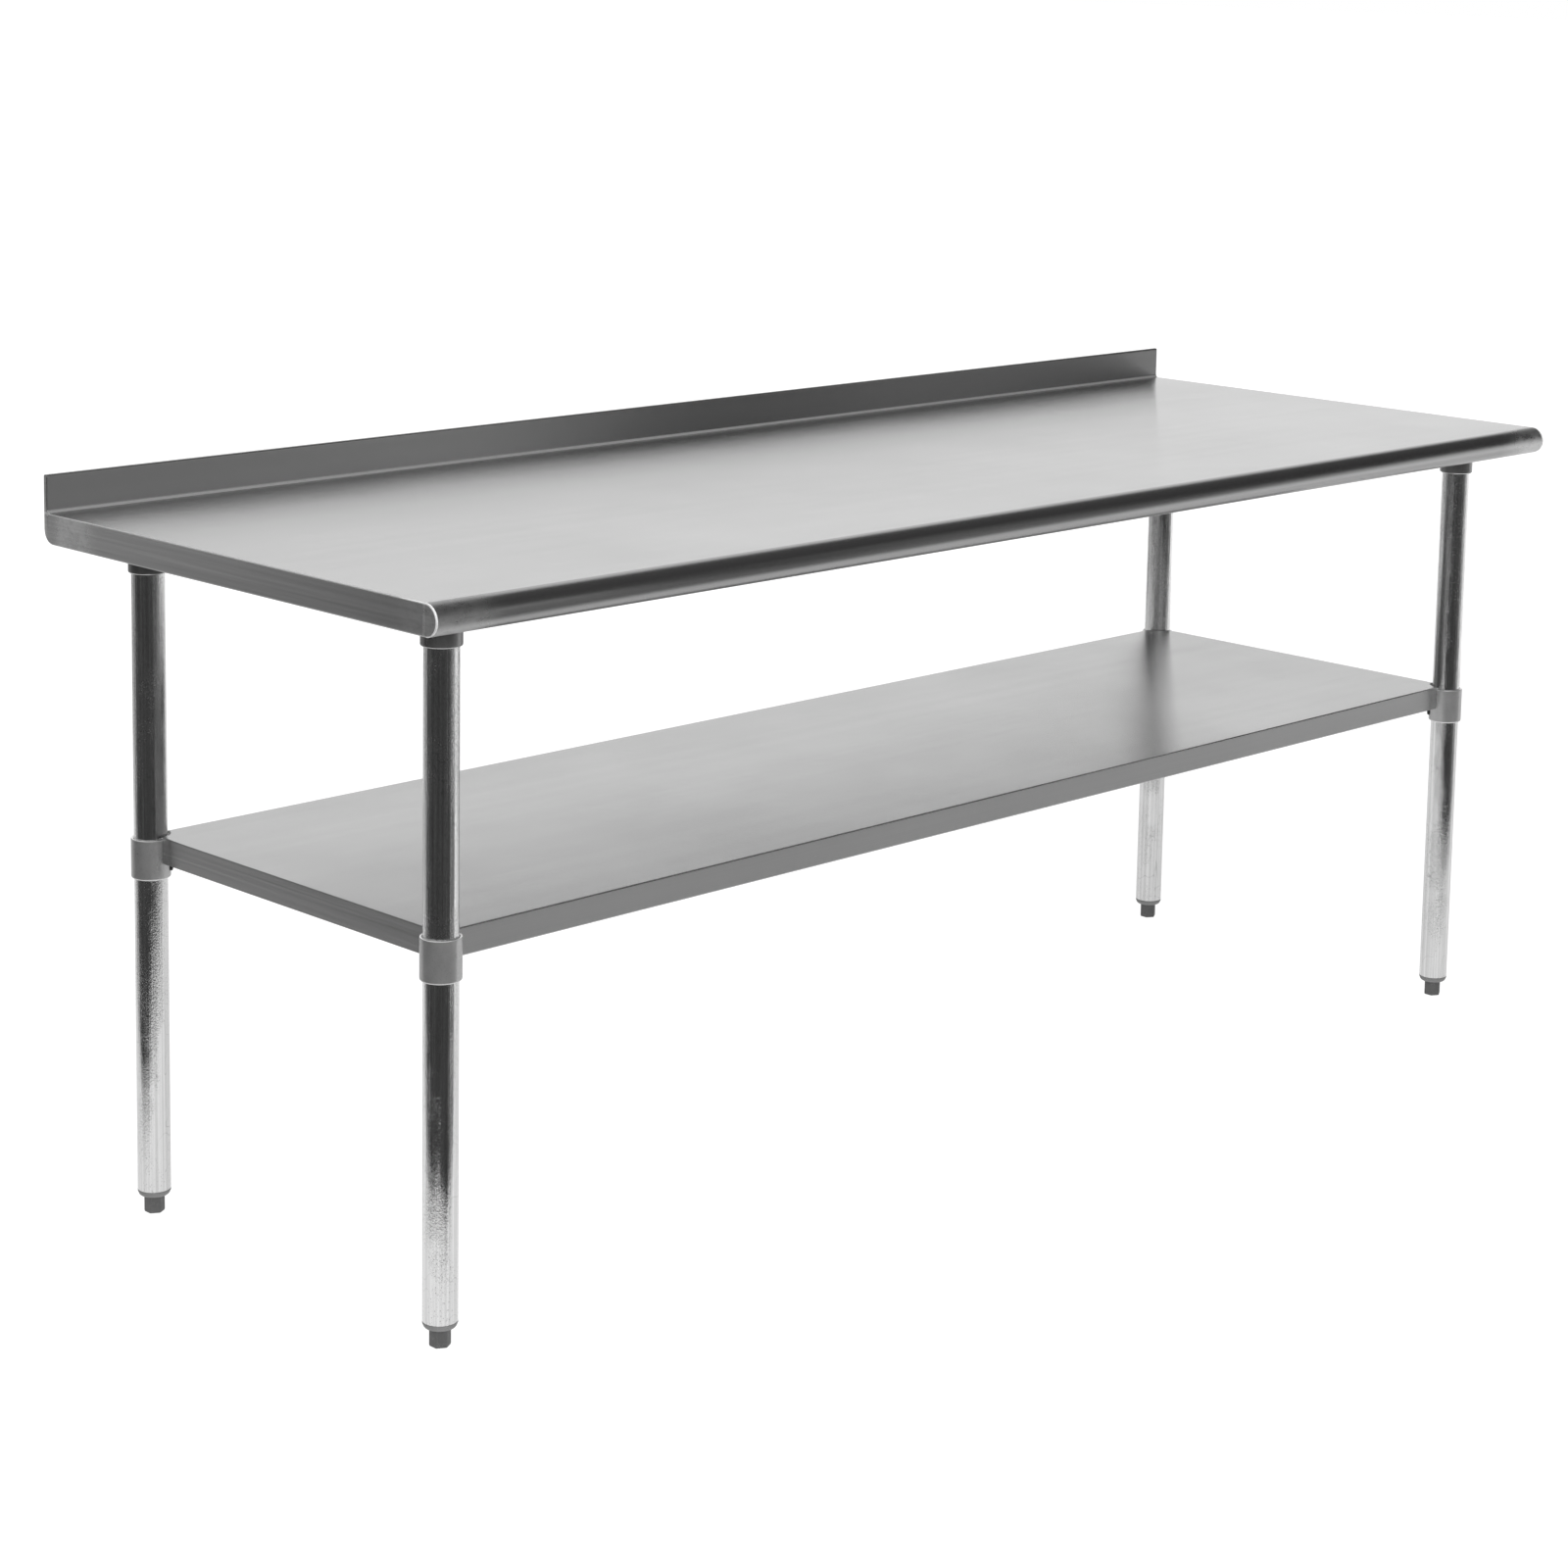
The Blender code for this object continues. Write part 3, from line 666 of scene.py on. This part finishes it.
def thread_sections(low, high, root, crest):
    """Outlines of a thread, from bottom to top, that run out to the root at both ends."""
    depth = crest - root
    sunk = root - 0.0003
    half_base, half_crest = 0.49 * THREAD_PITCH, 0.07 * THREAD_PITCH
    turns = math.floor((high - low - 2 * depth) / THREAD_PITCH)
    for step in range(turns * SMALL_SIDES + 1):
        angle = 2 * math.pi * step / SMALL_SIDES
        outward = Vector((math.cos(angle), math.sin(angle), 0))
        middle = Vector((0, 0, low + depth + THREAD_PITCH * step / SMALL_SIDES))
        tip = root + depth * min(1.0, step / SMALL_SIDES, turns - step / SMALL_SIDES)
        outline = ((sunk, -half_base), (tip, -half_crest), (tip, half_crest), (sunk, half_base))
        yield [middle + outward * across + Vector((0, 0, along)) for across, along in outline]


def foot_stud(corner, material):
    """The stud with its real thread, which turns with the foot and screws through the insert."""
    node = "foot_stud_" + corner
    low, high = node_box(node)
    crest = (high.x - low.x) / 2
    root = crest - 0.6 * THREAD_PITCH
    edge = 0.0004
    profile = [(0, high.z), (root - edge, high.z), (root, high.z - edge), (root, low.z), (0, low.z)]
    place = Matrix.Translation(leg_axis(corner))
    bm = bmesh.new()
    turn_profile(bm, profile, SMALL_SIDES, place)
    sections = []
    for outline in thread_sections(low.z, high.z, root, crest):
        sections.append([bm.verts.new(place @ spot) for spot in outline])
    for first, second in zip(sections, sections[1:]):
        for side in range(4):
            after = (side + 1) % 4
            bm.faces.new((first[side], first[after], second[after], second[side]))
    bm.faces.new(sections[0])
    bm.faces.new(reversed(sections[-1]))
    mesh = finish_mesh(node, bm)
    add_piece("fine_" + node, mesh, material, "foot_" + corner, [node])


# ---- Welds --------------------------------------------------------------------------------
WELD_STANDOFF = 0.0006          # from a round part's surface to the middle of its weld bead
CHANNEL_SHEET = 0.0015
SPOT_SPACING = 0.15
SPOT_ROW_OFFSET = 0.039         # from a channel's middle to each row of spot welds
SPOT_END_ROOM = 0.010
SPOT_SIDES = 20


def weld_bead(name, points, radii, material, body):
    """A weld bead: a round line through points, with its own radius at each."""
    curve = bpy.data.curves.new(name, "CURVE")
    curve.dimensions = "3D"
    curve.bevel_depth = 1.0
    curve.bevel_resolution = 3
    curve.use_fill_caps = True
    spline = curve.splines.new("POLY")
    spline.points.add(len(points) - 1)
    for spot, point, radius in zip(spline.points, points, radii):
        spot.co = (*point, 1)
        spot.radius = radius
    spline.use_smooth = True
    add_piece(name, curve, material, body)


def ripple(index):
    """The uneven height of a hand-laid bead, from 0 to 1."""
    return 0.5 + 0.3 * math.sin(index * 2.1) + 0.2 * math.sin(index * 5.3 + 1)


def end_weld(side, sign, material):
    """The ground weld that joins the roll to an end panel, round the front of the panel."""
    low, high = node_box("worktop")
    inset = 0.0010
    x = sign * (high.x - inset)
    nose_y, nose_z = low.y + ROLL_RADIUS, WORK_HEIGHT - ROLL_RADIUS
    bend = ROLL_RADIUS - inset
    run, run_steps, bend_steps = 0.062, 13, 32
    points, radii = [], []
    for step in range(run_steps):
        share = step / run_steps
        points.append((x, nose_y + run * (1 - share), WORK_HEIGHT - inset))
        radii.append(0.0006 + 0.0006 * share)
    for step in range(bend_steps + 1):
        angle = math.pi / 2 + math.pi * step / bend_steps
        points.append((x, nose_y + bend * math.cos(angle), nose_z + bend * math.sin(angle)))
        fullness = math.sin(math.pi * min(1, (step + 6) / (bend_steps + 2)))
        radii.append(0.0010 + 0.0005 * fullness + 0.0001 * ripple(step))
    weld_bead("end_weld_" + side, points, radii, material, "table")


def socket_weld(corner, material):
    """The fillet weld round the top of a socket, against the channel above it."""
    low, high = node_box("leg_socket_" + corner)
    radius = (high.x - low.x) / 2 + WELD_STANDOFF
    axis = leg_axis(corner, high.z - 0.0008)
    steps = 90
    points, radii = [], []
    for step in range(steps + 1):
        angle = 2 * math.pi * step / steps
        points.append(axis + radius * Vector((math.cos(angle), math.sin(angle), 0)))
        radii.append(0.0016 + 0.0007 * ripple(step % steps))
    weld_bead("socket_weld_" + corner, points, radii, material, "table")


def sleeve_weld(corner, material):
    """The weld under the shelf, round the part of the sleeve that stands in its corner."""
    low, high = node_box("shelf_sleeve_" + corner)
    radius = (high.x - low.x) / 2 + WELD_STANDOFF
    side_x, side_y = CORNERS[corner]
    axis = leg_axis(corner, SHELF_HEIGHT - 0.0022)
    inward_angle = math.atan2(-side_y, -side_x)
    sweep, steps = math.radians(82), 24
    points, radii = [], []
    for step in range(steps + 1):
        angle = inward_angle + sweep * (step / steps - 0.5)
        points.append(axis + radius * Vector((math.cos(angle), math.sin(angle), 0)))
        radii.append(0.0012 + 0.0006 * ripple(step))
    weld_bead("sleeve_weld_" + corner, points, radii, material, "shelf")


def spot_welds(node, body, material):
    """Shallow round spot-weld marks on both flanges of a channel, seen from below."""
    low, high = node_box(node)
    size = high - low
    lengthwise, crosswise = Vector((1, 0, 0)), Vector((0, 1, 0))
    if size.y > size.x:
        lengthwise, crosswise = crosswise, lengthwise
    length = max(size.x, size.y)
    count = max(4, round(length / SPOT_SPACING))
    sunk, ring, dish = 0.0004, -0.00025, -0.0001
    profile = [(0, sunk), (0.0030, sunk), (0.0032, 0), (0.0026, ring), (0.0016, dish), (0, dish)]
    bm = bmesh.new()
    for index in range(count):
        along = ((index + 0.5) / count - 0.5) * (length - 2 * SPOT_END_ROOM)
        for side in (-SPOT_ROW_OFFSET, SPOT_ROW_OFFSET):
            spot = (low + high) / 2 + lengthwise * along + crosswise * side
            spot.z = high.z - CHANNEL_SHEET
            turn_profile(bm, profile, SPOT_SIDES, Matrix.Translation(spot))
    name = "spot_welds_" + node
    add_piece(name, finish_mesh(name, bm), material, body)


# ---- CAD nodes that stay ------------------------------------------------------------------
CAD_MERGE_DISTANCE = 0.00001


def angle_smoothing():
    """A node group that shades a mesh smooth except over folds sharper than SMOOTH_ANGLE."""
    group = bpy.data.node_groups.new("smooth_by_angle", "GeometryNodeTree")
    group.interface.new_socket("Geometry", in_out="INPUT", socket_type="NodeSocketGeometry")
    group.interface.new_socket("Geometry", in_out="OUTPUT", socket_type="NodeSocketGeometry")
    start = group.nodes.new("NodeGroupInput")
    end = group.nodes.new("NodeGroupOutput")
    faces = group.nodes.new("GeometryNodeSetShadeSmooth")
    edges = group.nodes.new("GeometryNodeSetShadeSmooth")
    edges.domain = "EDGE"
    edges.inputs["Shade Smooth"].default_value = False
    angle = group.nodes.new("GeometryNodeInputMeshEdgeAngle")
    sharp = group.nodes.new("FunctionNodeCompare")
    sharp.operation = "GREATER_THAN"
    sharp.inputs[1].default_value = SMOOTH_ANGLE
    group.links.new(start.outputs[0], faces.inputs[0])
    group.links.new(faces.outputs[0], edges.inputs[0])
    group.links.new(angle.outputs[0], sharp.inputs[0])
    group.links.new(sharp.outputs[0], edges.inputs["Selection"])
    group.links.new(edges.outputs[0], end.inputs[0])
    return group


def dress_node(name, material, smoothing):
    """Gives a CAD node its material, and joins and smooths its facets with modifiers."""
    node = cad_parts[name]
    node.data.materials.clear()
    node.data.materials.append(material)
    weld = node.modifiers.new("weld", "WELD")
    weld.merge_threshold = CAD_MERGE_DISTANCE
    smooth = node.modifiers.new("smooth", "NODES")
    smooth.node_group = smoothing
    flatten_flats(node)


# ---- Studio -------------------------------------------------------------------------------
# Headings are in degrees round the table: 0 is straight out of its front, 90 its right end.
# Rises are in degrees above the horizon.
PAPER_CORNERS = ((-1.45, -0.62), (0.80, -1.08), (3.4, -1.10), (3.4, 2.6), (-1.45, 2.6))
PAPER_GLOW = 0.90
PAPER_GLOW_IN_STEEL = 0.66      # share of a sheet's glow that reflections show
FLOOR_REACH = 60.0
FAR_FLOOR_DROP = 0.0005
FAR_FLOOR_GLOW = 1.0
ROOM_DIMNESS = 0.06


def pale_floor_material(name, glow):
    """White paper that glows enough for only soft contact shading to be left."""
    material, graph, shader = new_material(name, 0.0)
    mottle = graph.noise((1.5, 1.5, 1.5), 2.0)
    graph.feed(shader.inputs["Base Color"], graph.grey(graph.plus(mottle, 0.02, 0.34)))
    shader.inputs["Roughness"].default_value = 0.9
    shader.inputs["Specular IOR Level"].default_value = 0.1
    shader.inputs["Emission Color"].default_value = (1.0, 1.0, 1.0, 1.0)
    reflected = graph.node("ShaderNodeLightPath").outputs["Is Glossy Ray"]
    strength = graph.mix(reflected, glow, PAPER_GLOW_IN_STEEL * glow)
    graph.feed(shader.inputs["Emission Strength"], strength)
    return material


def floor_sheet(name, corners, height, glow):
    bm = bmesh.new()
    bm.faces.new([bm.verts.new((*corner, height)) for corner in corners])
    sheet = bpy.data.objects.new(name, finish_mesh(name, bm))
    bpy.context.scene.collection.objects.link(sheet)
    sheet.data.materials.append(pale_floor_material(name, glow))
    return sheet


def floor_bands(graph, heading, rise):
    """Parts of the room's floor, as (mask, brightness). The legs, lips and end panels mirror it."""
    below = graph.ramp(rise, -1.5, 1.5, 1.0, 0.0)
    right = graph.window(heading, 55, 4, 116, 8)
    front = graph.window(heading, 22, 6, 60, 6)
    front = graph.times(front, graph.ramp(heading, 38, 52, 1.45, 0.95))
    left = graph.window(heading, -172, 6, -120, 6)
    left = graph.times(left, graph.ramp(heading, -148, -139, 1.15, 0.15))
    wavering = graph.node(
        "ShaderNodeTexNoise", {"W": heading, "Scale": 0.16, "Detail": 3.0}, noise_dimensions="1D"
    )
    stripes = graph.ramp(wavering.outputs[0], 0.40, 0.62, -0.054, 0.055)
    stripes = graph.times(graph.window(heading, -125, 6, 50, 4), stripes)
    bands = ((right, 1.10), (front, 0.12), (left, 0.22), (stripes, 1.0))
    return [(graph.times(mask, below), brightness) for mask, brightness in bands]


def wall_bands(graph, heading, rise):
    """The room's backdrop, walls and windows, as (mask, brightness)."""

    def patch(headings, rises):
        """A soft-edged patch. Each range is (start, start_blur, end, end_blur)."""
        return graph.times(graph.window(heading, *headings), graph.window(rise, *rises))

    over_top = graph.math("SUBTRACT", rise, graph.ramp(heading, 118, 140, 34, 62))
    backdrop = graph.window(heading, 112, 6, 172, 8)
    backdrop = graph.times(backdrop, graph.ramp(over_top, -6, 6, 1.0, 0.0))
    left_edge = graph.ramp(heading, -160, -148, 1.0, 0.0)
    front_wall = patch((20, 8, 41.4, 0.3), (0, 2, 19, 5))
    front_wall = graph.times(front_wall, graph.ramp(heading, 36, 40, 1.0, 1.4))
    right_wall = patch((45.6, 1.4, 50, 3), (0, 2, 22, 6))
    front_window = patch((-110, 8, 10, 6), (6, 3, 62, 8))
    left_window = patch((-172, 8, -110, 8), (24, 6, 70, 8))
    ceiling = graph.ramp(rise, 10, 50)
    return [
        (backdrop, 0.94), (left_edge, 0.20), (front_wall, 0.34), (right_wall, 0.18),
        (front_window, 0.55), (left_window, 0.45), (ceiling, 0.05),
    ]


def make_world():
    """White to the eye. In reflections, a dim room with a white backdrop behind the table."""
    world = bpy.data.worlds.new("studio")
    bpy.context.scene.world = world
    world.use_nodes = True
    graph = Graph(world.node_tree)
    direction = graph.node("ShaderNodeTexCoord").outputs["Generated"]
    x, y, z = graph.parts(direction)
    heading = graph.math("DEGREES", graph.math("ARCTAN2", x, graph.times(y, -1.0)))
    rise = graph.math("DEGREES", graph.math("ARCSINE", z))
    level = ROOM_DIMNESS
    for mask, brightness in floor_bands(graph, heading, rise) + wall_bands(graph, heading, rise):
        level = graph.plus(mask, brightness, level)
    seen = graph.node("ShaderNodeLightPath").outputs["Is Camera Ray"]
    level = graph.mix(seen, level, 1.0)
    background = graph.node("ShaderNodeBackground", {"Color": graph.grey(level)})
    output = graph.node("ShaderNodeOutputWorld")
    graph.tree.links.new(background.outputs[0], output.inputs[0])


def soft_light(name, place, size, power):
    """A large soft light that shades the matt surfaces and leaves the reflections alone."""
    data = bpy.data.lights.new(name, "AREA")
    data.shape = "SQUARE"
    data.size = size
    data.energy = power
    light = bpy.data.objects.new(name, data)
    bpy.context.scene.collection.objects.link(light)
    light.location = place
    light.rotation_euler = (-Vector(place)).to_track_quat("-Z", "Y").to_euler()
    light.visible_glossy = False


def make_studio():
    make_world()
    floor_sheet("paper_floor", PAPER_CORNERS, 0.0, PAPER_GLOW)
    ends = ((-1, -1), (1, -1), (1, 1), (-1, 1))
    far_corners = [(FLOOR_REACH * x, FLOOR_REACH * y) for x, y in ends]
    far = floor_sheet("far_floor", far_corners, -FAR_FLOOR_DROP, FAR_FLOOR_GLOW)
    far.visible_glossy = False
    far.visible_diffuse = False
    soft_light("overhead_light", (-0.6, -1.0, 3.6), 3.0, 60)
    soft_light("front_light", (-2.4, -3.4, 1.8), 1.6, 80)
    bpy.context.scene.view_settings.view_transform = "Standard"


# ---- Whole scene --------------------------------------------------------------------------
def dress_table(materials):
    smoothing = angle_smoothing()
    dress_node("worktop", materials["worktop"], smoothing)
    dress_node("undershelf", materials["shelf"], smoothing)
    for channel in ("cross_channel_left", "cross_channel_right", "long_channel"):
        dress_node(channel, materials["channel"], smoothing)
        spot_welds(channel, "table", materials["raw_weld"])
    dress_node("shelf_channel", materials["channel"], smoothing)
    spot_welds("shelf_channel", "shelf", materials["raw_weld"])
    for side, sign in (("left", -1), ("right", 1)):
        end_weld(side, sign, materials["ground_weld"])
    for corner in CORNERS:
        leg_socket(corner, materials["socket"])
        socket_weld(corner, materials["raw_weld"])
        set_screw("socket_set_screw_" + corner, corner, "table", materials["screw"])
        leg_tube(corner, materials["tube"])
        shelf_sleeve(corner, materials["sleeve"])
        sleeve_weld(corner, materials["raw_weld"])
        set_screw("sleeve_set_screw_" + corner, corner, "shelf", materials["screw"])
        foot_insert(corner, materials["bush_plastic"])
        foot_stud(corner, materials["stud"])
        levelling_foot(corner, materials["foot_plastic"])


make_camera()
make_studio()
dress_table(make_materials())
